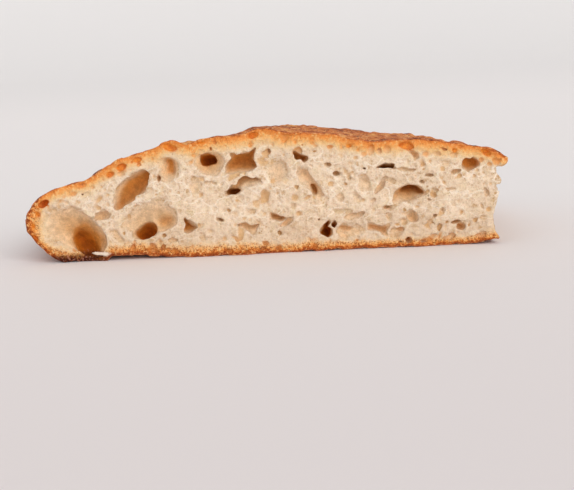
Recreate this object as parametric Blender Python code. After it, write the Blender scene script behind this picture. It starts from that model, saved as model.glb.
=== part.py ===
"""A corner piece of focaccia, lying on its base: crust on the left and back, cut straight at the front
and right, with the bubbles of its crumb open in both cuts.

Metres, +Z up, origin at the middle of its base.
"""

import math
import random

import bmesh
import bpy
import numpy as np
from mathutils import Matrix, Vector

MM = 0.001

# Driving sizes
LENGTH = 174 * MM
DEPTH = 84 * MM
LEFT_X = -LENGTH / 2
FRONT_Y = -DEPTH / 2
BACK_Y = DEPTH / 2
END_X = 83 * MM
CORNER_RADIUS = 38 * MM

# The crusted rim: a blunt nose, rounded above and chamfered below
NOSE_HEIGHT = 13.2 * MM
NOSE_HALF_LIP = 1.5 * MM
RIM_TOP_REACH = 9 * MM
RIM_BASE_REACH = 12.8 * MM
RIM_BASE_POWER = 1.4

# The top falls away towards the back crust
BACK_RIM_SHARE = 0.6
BACK_SLOPE_REACH = 62 * MM
SWELL = 0.6 * MM
EVEN_NEAR_CUT = 30 * MM

# The right cut bows in and out, and the top crust stands out past it as a blunt lip
END_BOW = 1.3 * MM
END_BOW_HEIGHT = 17 * MM
OVERHANG = LENGTH / 2 - END_X
OVERHANG_FROM, OVERHANG_FULL = 0.8, 0.9
CUT_UNEVENNESS = 0.5 * MM

# Height of the top along the front cut: (x, z) in millimetres
CREST = (
    (-87, 23.0), (-80, 25.3), (-74, 27.7), (-66, 29.3), (-61.5, 30.3), (-58, 33.1), (-52, 37.1),
    (-47, 38.3), (-40, 39.9), (-34.5, 43.1), (-31, 42.8), (-27.2, 42.0), (-22, 42.9), (-10, 43.1),
    (0, 45.5), (6, 43.8), (19, 42.7), (25, 42.2), (30, 40.2), (36, 39.2), (42, 38.8), (48, 39.1),
    (55, 39.2), (62, 38.1), (68, 37.1), (74, 35.8), (80.5, 35.4), (83.8, 32.8), (87, 30.7),
)

# Behind the cut that line softens over this distance, and its left slope leans back by this share
CREST_SOFTENING = 8 * MM
CREST_LEAN = 0.65
LEAN_LEFT_OF, LEAN_FADE = -30 * MM, 40 * MM

# It falls by this share of the distance behind the cut, except over the level middle stretch
SIDE_FALL, SIDE_FALL_REACH = 0.13, 26 * MM
LEVEL_FROM, LEFT_FADE = -2 * MM, 20 * MM
LEVEL_TO, RIGHT_FADE = 50 * MM, 34 * MM

# A knob of crust behind the left end of the cut: (x, y, radius, height) in millimetres
KNOB = (-59, -36.5, 5.0, 2.8)

# Finger dimples pressed into the top: (x, y, radius, depth) in millimetres
DIMPLES = (
    (-27, -38, 5.5, 1.8), (-60, -13, 8.0, 4.5), (-34, 3, 9.0, 6.5), (-6, -8, 8.0, 5.0), (21, 2, 9.5, 7.0),
    (62, -10, 8.5, 5.5), (73, 13, 7.5, 5.0), (-53, 19, 7.0, 4.0), (-17, 23, 8.0, 5.5), (9, 26, 6.5, 4.0),
    (42, 22, 8.5, 5.5),
)

# Low blisters scattered over the top: how many, and the range of their radius and height
BLISTERS = 46
BLISTER_RADIUS = (2.5, 5.5)
BLISTER_HEIGHT = (0.3, 0.9)
BLISTER_SEED = 5

# Bubbles open in the front cut: (x, z, half width, half height, tilt in degrees, depth) in millimetres
FRONT_BUBBLES = (
    (-72.9, 12.8, 9.0, 7.6, -3, 3.2), (-64.9, 10.0, 6.1, 6.6, -23, 8.6), (-79.7, 21.5, 1.8, 1.3, 12, 2.9),
    (-47.8, 26.6, 8.6, 3.8, 41, 5.8), (-60.0, 16.8, 2.9, 1.8, 7, 2.5), (-50.4, 34.6, 1.5, 1.4, 0, 1.6),
    (-41.8, 15.1, 9.7, 6.3, -11, 2.9), (-44.3, 10.5, 4.0, 2.5, 27, 6.5), (-37.8, 15.7, 5.0, 5.8, 0, 4.3),
    (-32.0, 32.7, 3.6, 4.3, 0, 3.6), (-19.5, 33.2, 4.7, 4.5, 0, 2.4), (-19.8, 35.0, 2.9, 2.0, 0, 7.9),
    (-8.1, 33.8, 5.4, 3.6, 5, 6.1), (-11.9, 23.9, 2.5, 1.5, 17, 7.9), (-6.8, 25.8, 6.1, 2.0, 3, 3.6),
    (-19.9, 27.1, 2.5, 0.9, -6, 1.1), (-25.5, 22.7, 1.8, 6.1, 7, 1.2), (-27.2, 12.3, 2.9, 2.2, -38, 4.3),
    (-6.5, 10.2, 5.0, 1.6, 0, 1.8), (-6.6, 15.7, 1.4, 1.4, 0, 1.2), (12.9, 34.9, 2.7, 1.1, -33, 5.0),
    (14.7, 26.3, 5.0, 2.2, -53, 2.5), (18.7, 21.1, 2.5, 2.9, 0, 2.9), (23.6, 27.7, 1.4, 1.3, 17, 2.2),
    (3.4, 13.4, 3.1, 1.4, 0, 2.9), (21.4, 7.1, 2.0, 2.3, 0, 7.0), (24.2, 10.2, 1.3, 1.4, 0, 5.0),
    (28.3, 7.9, 2.5, 0.8, -6, 2.5), (31.3, 12.5, 2.9, 1.1, 12, 1.2), (41.7, 23.3, 2.9, 1.3, 47, 1.8),
    (26.9, 19.6, 1.5, 1.4, 0, 1.2), (35.6, 24.3, 1.8, 3.2, 0, 1.2), (39.4, 7.8, 3.6, 2.0, -13, 2.9),
    (3.5, 31.1, 3.6, 4.3, 0, 1.1), (43.3, 30.0, 2.9, 0.8, 2, 5.0), (52.3, 33.9, 2.3, 1.6, -33, 2.9),
    (73.1, 29.4, 3.1, 2.0, 0, 4.0), (50.8, 19.2, 6.1, 3.2, 0, 3.6), (50.1, 20.9, 2.9, 1.4, 12, 6.5),
    (51.7, 11.6, 1.9, 1.9, 0, 2.2), (48.9, 9.3, 1.4, 1.3, 0, 1.4), (70.3, 6.7, 1.7, 1.4, 27, 2.9),
    (67.4, 27.1, 1.8, 0.8, 12, 1.8), (45.8, 4.9, 3.2, 2.4, 0, 1.4), (77.0, 3.6, 1.8, 1.3, 0, 1.8),
)

# Bubbles open in the right cut are drawn at random between these sizes, no nearer than this share
END_BUBBLES = 17
END_BUBBLE_RADIUS = (1.4 * MM, 4.2 * MM)
END_BUBBLE_SPACING = 1.05
END_MARGIN = 3.5 * MM
END_SEED = 11

# A deep bubble is widest behind the cut, and a shallow one in front of it: centre offset over half depth
DEEP_OFFSET = 0.25
SHALLOW_OFFSET = -0.5
LARGE_BUBBLE = 4.4 * MM

# The mesh is finer near the crusted rim, and its levels are closer under the top crust
STEPS_ALONG, STEPS_ACROSS = 46, 24
LEVELS = (0.0, 0.22, 0.42, 0.62, 0.8, 0.9, 1.0)
RIM_SPREAD = 1.25

CRUST_COLOUR = (0.46, 0.19, 0.06, 1.0)
CRUMB_COLOUR = (0.78, 0.61, 0.41, 1.0)


def smooth(t):
    t = max(0.0, min(1.0, t))
    return t * t * (3 - 2 * t)


def crest(x, behind):
    """Height of the top over the front cut, softer and turned towards the corner further behind it."""
    xs = [point[0] * MM for point in CREST]
    zs = [point[1] * MM for point in CREST]
    spread = MM * (1 + behind / CREST_SOFTENING)
    turned = x - CREST_LEAN * behind * (1 - smooth((x - LEAN_LEFT_OF) / LEAN_FADE))
    around = [turned + step * spread for step in (-2, -1, 0, 1, 2)]
    sides = smooth((LEVEL_FROM - x) / LEFT_FADE) + smooth((x - LEVEL_TO) / RIGHT_FADE)
    return float(np.mean(np.interp(around, xs, zs))) - SIDE_FALL * min(behind, SIDE_FALL_REACH) * sides


def rim_distance(x, y):
    """How far a plan point lies inside the crusted outline, whose back left corner is round."""
    from_left = x - LEFT_X
    from_back = BACK_Y - y
    if from_left < CORNER_RADIUS and from_back < CORNER_RADIUS:
        return CORNER_RADIUS - math.hypot(CORNER_RADIUS - from_left, CORNER_RADIUS - from_back)
    return min(from_left, from_back)


def outline_left(y):
    """Where the crusted outline begins at a distance from the back."""
    from_back = min(BACK_Y - y, CORNER_RADIUS)
    return LEFT_X + CORNER_RADIUS - math.sqrt(CORNER_RADIUS**2 - (CORNER_RADIUS - from_back) ** 2)


def dimple_depth(x, y):
    """How far the finger dimples lower the top. Each is a well with a rounded floor."""
    lowered = 0.0
    for at_x, at_y, radius, depth in DIMPLES:
        reach = math.hypot(x - at_x * MM, y - at_y * MM) / (radius * MM)
        lowered += depth * MM * math.exp(-(reach**3) * 1.6)
    return lowered


def swell(x, y):
    """Slow unevenness of the top."""
    wave = math.sin(x / (9.1 * MM) + 1.3 * math.sin(y / (13 * MM))) + math.sin(y / (6.7 * MM) + x / (21 * MM))
    return SWELL * wave


def raised(x, y, at_x, at_y, radius, height):
    reach = math.hypot(x - at_x, y - at_y) / radius
    return height * math.exp(-(reach**2) * 1.5)


def scattered_blisters():
    """Seeded draws of (x, y, radius, height), in metres, over the top behind the front cut."""
    rng = random.Random(BLISTER_SEED)
    drawn = []
    for _ in range(BLISTERS):
        x = rng.uniform(LEFT_X, LENGTH / 2)
        y = rng.uniform(FRONT_Y + BLISTER_RADIUS[1] * MM, BACK_Y)
        drawn.append((x, y, rng.uniform(*BLISTER_RADIUS) * MM, rng.uniform(*BLISTER_HEIGHT) * MM))
    return drawn


def top_height(x, y, blisters=()):
    from_back = BACK_Y - y
    slope = math.sin(math.pi / 2 * min(from_back / BACK_SLOPE_REACH, 1.0))
    full = crest(x, y - FRONT_Y) * (BACK_RIM_SHARE + (1 - BACK_RIM_SHARE) * slope)
    uneven = swell(x, y) + sum(raised(x, y, *blister) for blister in blisters)
    full += uneven * smooth((y - FRONT_Y) / EVEN_NEAR_CUT) - dimple_depth(x, y)
    full += raised(x, y, *(value * MM for value in KNOB))
    inward = min(max(rim_distance(x, y), 0.0) / RIM_TOP_REACH, 1.0)
    lip = NOSE_HEIGHT + NOSE_HALF_LIP
    return lip + (full - lip) * math.sqrt(1 - (1 - inward) ** 2)


def base_height(x, y):
    outward = 1 - min(max(rim_distance(x, y), 0.0) / RIM_BASE_REACH, 1.0)
    return (NOSE_HEIGHT - NOSE_HALF_LIP) * outward**RIM_BASE_POWER


def end_offset(y, z, up):
    """How far the right end stands past its mean plane: a slow bow, and the lip of crust at the top."""
    uneven = 0.72 + 0.28 * math.cos((y - FRONT_Y) / (9 * MM))
    lip = OVERHANG * uneven * smooth((up - OVERHANG_FROM) / (OVERHANG_FULL - OVERHANG_FROM))
    bow = -END_BOW * math.sin(math.pi * z / END_BOW_HEIGHT + (y - FRONT_Y) / (23 * MM))
    return lip + bow * (1 - smooth((up - OVERHANG_FROM) / (OVERHANG_FULL - OVERHANG_FROM)))


def front_offset(x, z, up):
    """How far the front cut is pulled in by the knife, none at the crust."""
    wave = math.sin(x / (5.3 * MM) + z / (4 * MM)) * math.sin(z / (3.7 * MM) - x / (11 * MM))
    return CUT_UNEVENNESS * (0.5 + 0.5 * wave) * math.sin(math.pi * up)


def loaf_point(along, inward, up, blisters):
    """A point of the unit box, on the loaf: left to right, back to front, base to top."""
    y = BACK_Y - DEPTH * inward**RIM_SPREAD
    left = outline_left(y)
    x = left + (END_X - left) * along**RIM_SPREAD
    low = base_height(x, y)
    z = low + (top_height(x, y, blisters) - low) * up
    if along > 0.999:
        x += end_offset(y, z, up)
    if inward > 0.999:
        y += front_offset(x, z, up)
    return Vector((x, y, z))


def new_material(name, colour, roughness):
    material = bpy.data.materials.new(name)
    material.use_nodes = True
    shader = material.node_tree.nodes["Principled BSDF"]
    shader.inputs["Base Color"].default_value = colour
    shader.inputs["Roughness"].default_value = roughness
    shader.inputs["Metallic"].default_value = 0.0
    material.diffuse_color = colour
    return material


def new_collection(name):
    collection = bpy.data.collections.new(name)
    bpy.context.scene.collection.children.link(collection)
    return collection


def new_object(name, bm, materials, collection):
    mesh = bpy.data.meshes.new(name)
    bm.to_mesh(mesh)
    bm.free()
    for material in materials:
        mesh.materials.append(material)
    obj = bpy.data.objects.new(name, mesh)
    collection.objects.link(obj)
    return obj


def divided_box():
    """A unit box cut into cells on every side."""
    bm = bmesh.new()
    bmesh.ops.create_cube(bm, size=1.0)
    for axis, steps in enumerate((STEPS_ALONG, STEPS_ACROSS, len(LEVELS) - 1)):
        edges = [e for e in bm.edges if abs(e.verts[0].co[axis] - e.verts[1].co[axis]) > 0.5]
        bmesh.ops.subdivide_edges(bm, edges=edges, cuts=steps - 1, use_grid_fill=True)
    return bm


def make_loaf(materials, collection):
    """The uncut form of the piece, crust outside and crumb on its two cuts."""
    bm = divided_box()
    for face in bm.faces:
        middle = face.calc_center_median()
        face.material_index = 1 if middle.x > 0.499 or middle.y < -0.499 else 0
        face.smooth = True
    blisters = scattered_blisters()
    for vertex in bm.verts:
        up = LEVELS[round((vertex.co.z + 0.5) * (len(LEVELS) - 1))]
        vertex.co = loaf_point(vertex.co.x + 0.5, 0.5 - vertex.co.y, up, blisters)
    flat = [f for f in bm.faces if all(v.co.z < 1e-6 for v in f.verts)]
    bmesh.ops.dissolve_faces(bm, faces=flat)
    bmesh.ops.recalc_face_normals(bm, faces=bm.faces)
    return new_object("focaccia", bm, materials, collection)


def bubble(bm, centre, tilt, half_sizes, outward):
    """One closed ellipsoid. Its first half size is along the cut, its second up, its third into the loaf."""
    side = Vector((0, 0, 1)).cross(outward)
    turn = Matrix((side, Vector((0, 0, 1)), outward)).transposed().to_4x4()
    place = Matrix.Translation(centre) @ turn @ Matrix.Rotation(tilt, 4, "Z")
    fineness = 3 if max(half_sizes[:2]) > LARGE_BUBBLE else 2
    stretch = Matrix.Diagonal((*half_sizes, 1.0))
    bmesh.ops.create_icosphere(bm, subdivisions=fineness, radius=1.0, matrix=place @ stretch)


def add_bubble_in_cut(bm, on_cut, opening, tilt, depth, outward):
    """A bubble whose opening in the cut has these half sizes and whose far wall lies this deep."""
    offset = DEEP_OFFSET if depth > min(opening) else SHALLOW_OFFSET
    half_depth = depth / (1 + offset)
    widen = 1 / math.sqrt(1 - offset**2)
    centre = on_cut - outward * half_depth * offset
    bubble(bm, centre, tilt, (opening[0] * widen, opening[1] * widen, half_depth), outward)


def end_bubbles():
    """Seeded draws of (y, z, radius) for the right cut, largest first and apart from each other."""
    rng = random.Random(END_SEED)
    small, large = END_BUBBLE_RADIUS
    placed = []
    while len(placed) < END_BUBBLES:
        radius = large + (small - large) * len(placed) / END_BUBBLES
        y = rng.uniform(FRONT_Y + END_MARGIN + radius, BACK_Y - END_MARGIN - radius)
        low = base_height(END_X, y) + radius + END_MARGIN / 2
        high = top_height(END_X, y) * OVERHANG_FROM - radius
        z = rng.uniform(low, max(low, high))
        gaps = [math.hypot(y - b[0], z - b[1]) - (radius + b[2]) * END_BUBBLE_SPACING for b in placed]
        if high > low and min(gaps, default=1.0) > 0:
            placed.append((y, z, radius))
    return placed


def make_bubbles(materials, collection):
    """Every bubble that the two cuts open, as cutters."""
    front = Vector((0, -1, 0))
    right = Vector((1, 0, 0))
    made = []
    for x, z, half_width, half_height, tilt, depth in FRONT_BUBBLES:
        bm = bmesh.new()
        on_cut = Vector((x * MM, FRONT_Y, z * MM))
        opening = (half_width * MM, half_height * MM)
        add_bubble_in_cut(bm, on_cut, opening, math.radians(tilt), depth * MM, front)
        made.append(bm)
    rng = random.Random(END_SEED + 1)
    for y, z, radius in end_bubbles():
        bm = bmesh.new()
        opening = (radius, radius * rng.uniform(0.55, 0.95))
        depth = radius * rng.uniform(0.7, 1.5)
        add_bubble_in_cut(bm, Vector((END_X, y, z)), opening, rng.uniform(-0.5, 0.5), depth, right)
        made.append(bm)
    for number, bm in enumerate(made):
        for face in bm.faces:
            face.material_index = 1
            face.smooth = True
        cutter = new_object(f"bubble_{number:02d}", bm, materials, collection)
        cutter.hide_render = True
        cutter.display_type = "WIRE"


def main():
    for obj in list(bpy.data.objects):
        bpy.data.objects.remove(obj)
    materials = (new_material("crust", CRUST_COLOUR, 0.55), new_material("crumb", CRUMB_COLOUR, 0.8))
    bread = new_collection("focaccia_piece")
    cutters = new_collection("crumb_bubbles")
    make_bubbles(materials, cutters)
    loaf = make_loaf(materials, bread)
    opened = loaf.modifiers.new("open_crumb", "BOOLEAN")
    opened.operation = "DIFFERENCE"
    opened.operand_type = "COLLECTION"
    opened.collection = cutters
    opened.solver = "EXACT"


main()
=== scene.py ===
"""A corner piece of focaccia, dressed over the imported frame: an open crumb full of bubbles on the front and
right cuts, and a browned, dimpled and blistered crust. Shapes are worked out in millimetres, on a fine grid,
and turned into metres where the mesh is made."""

import math
import random

import bpy
import numpy as np
from mathutils import Matrix, Vector


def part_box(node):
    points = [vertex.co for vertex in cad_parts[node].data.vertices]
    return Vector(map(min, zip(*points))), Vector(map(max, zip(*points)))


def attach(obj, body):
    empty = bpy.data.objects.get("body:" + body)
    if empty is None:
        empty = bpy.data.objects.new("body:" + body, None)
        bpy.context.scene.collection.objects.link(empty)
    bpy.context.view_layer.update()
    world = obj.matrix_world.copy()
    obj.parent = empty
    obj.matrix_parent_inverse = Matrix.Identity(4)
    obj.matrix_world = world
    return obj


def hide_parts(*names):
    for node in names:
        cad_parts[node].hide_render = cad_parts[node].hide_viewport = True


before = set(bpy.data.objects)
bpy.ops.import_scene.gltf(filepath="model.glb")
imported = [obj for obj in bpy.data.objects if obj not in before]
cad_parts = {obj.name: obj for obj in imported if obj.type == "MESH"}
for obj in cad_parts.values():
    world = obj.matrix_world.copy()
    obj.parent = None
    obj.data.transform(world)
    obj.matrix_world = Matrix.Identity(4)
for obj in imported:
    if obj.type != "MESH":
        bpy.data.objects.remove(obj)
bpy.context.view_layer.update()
NODE = "focaccia"

MM = 0.001
LOW, HIGH = (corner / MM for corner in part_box(NODE))
LEFT_X, RIGHT_X = LOW.x, HIGH.x
FRONT_Y, BACK_Y = LOW.y, HIGH.y

# Form of the piece, the same named sizes as the solid's, in millimetres
END_X = 83.0
CORNER_RADIUS = 38.0
NOSE_HEIGHT = 13.2
NOSE_HALF_LIP = 1.5
RIM_TOP_REACH = 9.0
RIM_BASE_REACH = 12.8
RIM_BASE_POWER = 1.4
BACK_RIM_SHARE = 0.6
BACK_SLOPE_REACH = 62.0
SWELL = 0.6
EVEN_NEAR_CUT = 30.0
CREST = (
    (-87, 23), (-80, 25.3), (-74, 27.7), (-66, 29.3), (-61.5, 30.3), (-58, 33.1), (-52, 37.1),
    (-47, 38.3), (-40, 39.9), (-34.5, 43.1), (-31, 42.8), (-27.2, 42), (-22, 42.9), (-10, 43.1),
    (0, 45.5), (6, 43.8), (19, 42.7), (25, 42.2), (30, 40.2), (36, 39.2), (42, 38.8), (48, 39.1),
    (55, 39.2), (62, 38.1), (68, 37.1), (74, 35.8), (80.5, 35.4), (83.8, 32.8), (87, 30.7),
)
CREST_SOFTENING = 8.0
CREST_LEAN = 0.65
LEAN_LEFT_OF, LEAN_FADE = -30.0, 40.0
SIDE_FALL, SIDE_FALL_REACH = 0.13, 26.0
LEVEL_FROM, LEFT_FADE = -2.0, 20.0
LEVEL_TO, RIGHT_FADE = 50.0, 34.0
KNOB = (-59, -36.5, 5.0, 2.8)
DIMPLES = (
    (-27, -38, 5.5, 1.8), (-60, -13, 8, 4.5), (-34, 3, 9, 6.5), (-6, -8, 8, 5), (21, 2, 9.5, 7),
    (62, -10, 8.5, 5.5), (73, 13, 7.5, 5), (-53, 19, 7, 4), (-17, 23, 8, 5.5), (9, 26, 6.5, 4),
    (42, 22, 8.5, 5.5),
)
BLISTERS = 46
BLISTER_RADIUS = (2.5, 5.5)
BLISTER_HEIGHT = (0.3, 0.9)
BLISTER_SEED = 5

# The right cut near the front, as (height, how far right), and how it changes towards the back
END_PROFILE = (
    (0, 83.7), (2.1, 83.4), (4.7, 82), (7.2, 81.4), (10.2, 81.6), (13.2, 82.1), (16.1, 82.9),
    (18.9, 83.7), (19.6, 81.8), (21.2, 81.7), (21.7, 84), (23, 84.3), (24.5, 83.3), (25.5, 82.2),
    (27, 81.6), (28.4, 82.4),
)
END_PROFILE_FADE = 7.0
END_BOW, END_BOW_HEIGHT = 1.3, 17.0
LIP_THICKNESS = 3.2
LIP_THICKENING, LIP_THICKENING_REACH = 2.2, 9.0
LIP_REACH = 4.3
LIP_WAVE, LIP_WAVE_LENGTH = 0.28, 9.0
LIP_TAPER, LIP_TAPER_HEIGHT = 0.45, 2.4
LIP_ROUNDING = 0.7

# The front cut lies this far behind the front of the box, wavy and torn
FRONT_CUT, FRONT_CUT_WAVE, FRONT_CUT_DEEPEST = 0.6, 0.2, 2.4

# The base is a little hollow under the front cut, right of the heel
HOLLOW_FROM, HOLLOW_STEP, HOLLOW_LENGTH, HOLLOW_HEIGHT, HOLLOW_REACH = -58.5, 2.0, 34.0, 1.7, 14.0

# The base also lifts a little towards the right end of the front cut
LIFT_FROM, LIFT_LENGTH, LIFT_HEIGHT = 69.0, 16.0, 1.5

# How far a bubble's widest section lies behind its opening, as a share of its half depth, and the depth from
# which on a large opening is deep
DEEP_OFFSET = 0.25
SHALLOW_OFFSET = -0.5
DEEP_FROM = 4.0

# How far past its own size a bubble's field is worked out, and the steps that measure an outline
OPENING_MARGIN = 2.5
BUBBLE_MARGIN = 2.0
OUTLINE_STEP = 0.3

# Large openings in the front cut, by their outlines (x, z). Each row starts with the depth, how far the
# inside shifts with depth (x, z), how softly it joins what is beside it, and whether its outline is round.
OPENINGS = (
    # the bowl in the nose and the pocket in it
    (3.5, (1.1, -0.2), 0, True, ((-82, 15), (-80.5, 20), (-74, 21), (-67.5, 20), (-63.5, 16.5),
     (-60.5, 13), (-58.5, 10), (-58.5, 5.5), (-61.5, 2.6), (-67, 3.5), (-76, 5.5), (-82, 9.5))),
    (7.2, (-0.4, -0.45), 2.6, True, ((-69.5, 11), (-67, 14.5), (-63.5, 13.5), (-60.5, 10.5), (-59, 7),
     (-60, 2.6), (-64, 1.9), (-69, 4.8))),
    # the slanted oval
    (4.9, (0.1, -0.15), 0, True, ((-45.5, 33), (-41.5, 33), (-41, 29.5), (-43.5, 24.5), (-46, 22),
     (-51.5, 19.5), (-56, 18.8), (-53.5, 25), (-50.5, 29))),
    # the wide bowl, the hollow on its right and the pocket under it
    (2.3, (0.1, 0.15), 0, True, ((-55, 12), (-52, 17), (-46, 20.8), (-40, 22), (-35, 21), (-31.5, 18.5),
     (-31.5, 13), (-34, 10.5), (-41, 9.5), (-44.5, 7.5), (-50, 9.5))),
    (3.8, (0.1, -0.1), 1.4, True, ((-42.5, 12), (-41.5, 16.5), (-38, 18.6), (-34, 17.5), (-31.8, 14.5),
     (-33.5, 10.5), (-39, 9))),
    (7.6, (0.05, -0.38), 1.2, True, ((-49.5, 11), (-46.5, 13.8), (-42.5, 14.8), (-39.8, 11), (-41.5, 9),
     (-44.5, 7), (-48, 8))),
    # under the top crust
    (2.6, (0, -0.1), 0, True, ((-36.5, 36.5), (-32.5, 37), (-30, 34.5), (-29.5, 31), (-31, 28.2),
     (-36, 27.2), (-38, 31))),
    (4.2, (0.1, -0.1), 1.5, True, ((-35, 36), (-32.8, 36), (-31.8, 33), (-32, 29.8), (-34.5, 30),
     (-34.8, 33))),
    (3.2, (0, 0), 0, True, ((-24.5, 37.5), (-16, 38), (-14, 35), (-14.8, 31), (-18, 28.5),
     (-23, 29), (-24.8, 32.5))),
    (8, (0, -0.22), 0, False, ((-22.2, 36.6), (-20, 37), (-17.7, 36.3), (-16.9, 34.8), (-17.6, 33.4),
     (-20.3, 32.9), (-22, 33.4), (-22.6, 35))),
    (5.4, (0.1, 0.12), 0, False, ((-13.2, 34.8), (-12.2, 36.4), (-7.5, 37.2), (-3.2, 38.5), (-3.9, 35.9),
     (-4.4, 34.4), (-2.7, 31.8), (-4.3, 30.6), (-8.2, 30.1), (-13.6, 30.1), (-14.2, 32.4))),
    (5, (-0.1, -0.1), 0, False, ((9.6, 37.3), (11.4, 37.4), (13.2, 36), (14.4, 35.2), (16.2, 34.2),
     (15.2, 32.8), (13.9, 32.5), (12.9, 33.7), (11.4, 33.9), (10.3, 35.6))),
    (2.6, (-0.1, 0), 0, False, ((50.4, 36.4), (53, 35.5), (55, 34.1), (54.6, 32.6), (53.2, 32.1),
     (51.8, 33.6))),
    (4.6, (0.1, -0.05), 0, True, ((69.2, 29.6), (70.5, 31.4), (73, 32), (76, 31), (76.8, 29),
     (75.2, 27.2), (72.6, 26.5), (70, 27.8))),
    # middle of the crumb
    (3.8, (0.1, 0.5), 0, False, ((-14.6, 20.8), (-14, 23), (-11.8, 25.6), (-9.2, 27.7), (-6.4, 28.4),
     (-3.5, 27.8), (0.3, 25.7), (-4, 25), (-7.6, 24.1), (-9.4, 22.9), (-11.7, 21.6))),
    (6.6, (0, -0.12), 0.6, False, ((-14, 23.3), (-12.6, 24.8), (-10, 25), (-8.7, 24.2), (-11.5, 22),
     (-13.6, 21.9))),
    (2.4, (0.2, 0.2), 0, True, ((10.5, 30), (13, 31.2), (16.2, 29), (18, 25.6), (21.8, 21.5),
     (20, 17), (17.3, 19), (15.8, 22.4), (13.6, 24), (10.6, 27))),
    (4.6, (0.1, 0), 0.8, True, ((15, 24.5), (16.8, 25), (18.5, 22.5), (18.4, 20), (16.8, 21))),
    (7.4, (0, -0.18), 0, False, ((40, 29.4), (41.5, 30.3), (43, 30.8), (46.3, 30.7), (46, 29.2),
     (43, 29.1))),
    (3.9, (0, 0.05), 0.7, True, ((44.2, 16.2), (45.6, 19.6), (47.8, 22.4), (51, 23.3), (54.2, 22),
     (58.4, 18.7), (54.6, 17.9), (53.6, 15.6), (47.3, 15.3))),
    (6, (0.1, 0.1), 0.8, True, ((47.6, 18.8), (49.4, 22), (52.4, 22.8), (57.2, 19.6), (52.4, 18.7))),
    # near the base
    (4.6, (-0.45, 0.05), 0, True, ((-29.3, 15.4), (-26.8, 13.8), (-24.8, 12.4), (-24.1, 11), (-25.2, 9.5),
     (-27.4, 8.9), (-29.6, 9.4), (-28.5, 11.8))),
    (2.9, (0, 0.2), 0, False, ((-12.6, 12.4), (-9.2, 11.6), (-4.3, 11.2), (-0.6, 12), (-3, 9.6),
     (-4.6, 7.9), (-8.4, 9), (-11.4, 10))),
    (3.7, (0.1, 0), 0, False, ((1.3, 15.3), (3.7, 14.8), (6.2, 14.2), (7.3, 12.6), (4.6, 11.7),
     (1.1, 12.2))),
    (7.6, (0, -0.22), 0, False, ((20.4, 10), (22.2, 11.6), (22.7, 10.7), (22.1, 9.3), (23.4, 8.1),
     (23, 5.9), (21.7, 4.4), (20.2, 5.7), (19.3, 7))),
    (5.5, (0, -0.3), 0, False, ((22.9, 9.8), (24, 10.8), (25.4, 10), (24.5, 8.1), (23.2, 8.5))),
    (3.3, (0.2, -0.1), 0, False, ((35.3, 9.6), (39, 8.8), (43.3, 8.6), (42.2, 5.1), (39.1, 6.2),
     (35.7, 6.9))),
)

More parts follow.
